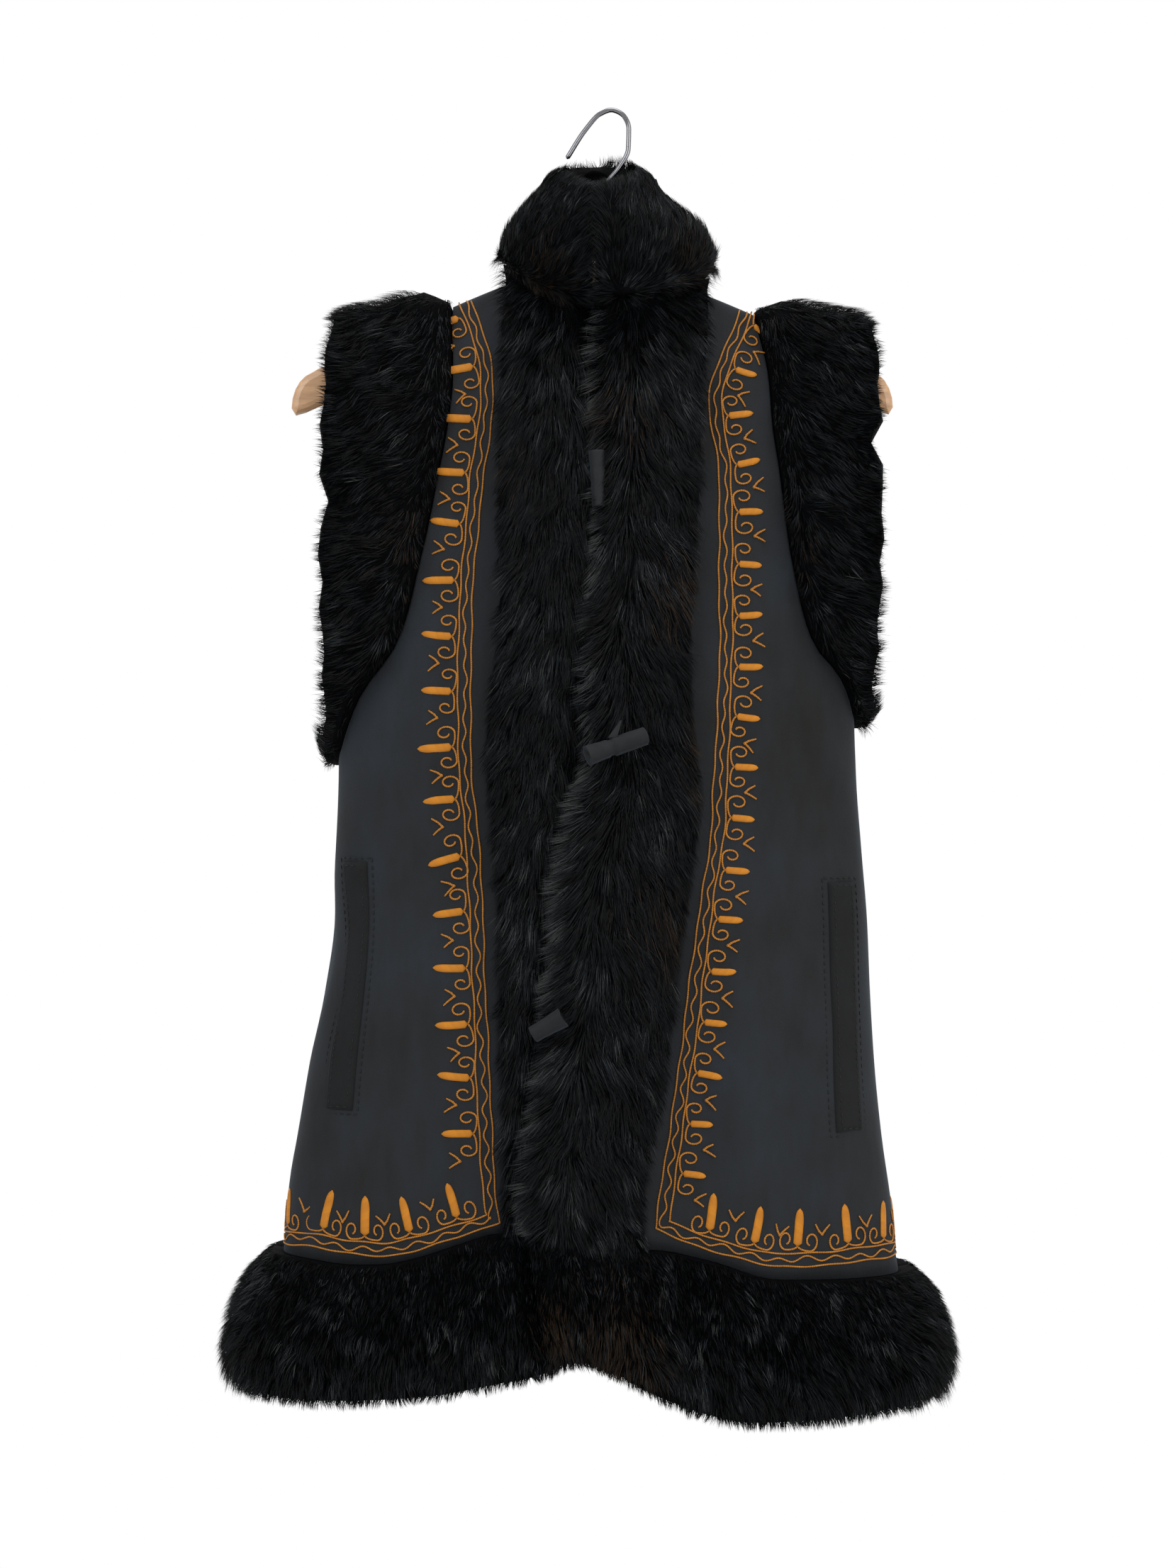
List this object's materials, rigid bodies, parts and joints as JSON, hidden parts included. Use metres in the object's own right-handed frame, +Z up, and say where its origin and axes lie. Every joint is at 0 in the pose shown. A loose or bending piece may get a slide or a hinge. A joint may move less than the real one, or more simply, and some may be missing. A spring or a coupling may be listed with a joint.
{
  "type": "embroidered fur-trimmed suede folk vest on a wooden coat hanger",
  "caption": "Sleeveless dark suede folk vest with deep fur collar, fronts, armholes and hem and ochre embroidered borders, hanging closed on a wooden hanger with a wire hook",
  "frame": {"origin": "under the top of the hanger's wire hook, where it rests on what carries it", "axes": "+X toward the viewer's right of the fronts, +Y toward the vest's back, +Z up"},
  "size_m": [0.5129, 0.2095, 0.9183],
  "materials": {
    "suede": "matt suede with a soft nap",
    "welt": "matt suede, a little darker",
    "fur": "dense soft pile",
    "toggle": "rolled matt leather",
    "wood": "satin lacquer",
    "wire": "polished"
  },
  "bodies": {
    "root": {"suede_back": "suede", "suede_front_left": "suede", "suede_front_right": "suede", "fur_collar": "fur", "fur_front_left": "fur", "fur_front_right": "fur", "fur_armhole_left": "fur", "fur_armhole_right": "fur", "fur_hem_front_left": "fur", "fur_hem_front_right": "fur", "fur_hem_back": "fur", "pocket_welt_left": "welt", "pocket_welt_right": "welt", "toggle_1": "toggle", "toggle_2": "toggle", "toggle_3": "toggle", "hanger_bar": "wood", "hanger_hook": "wire"}
  },
  "joints": []
}
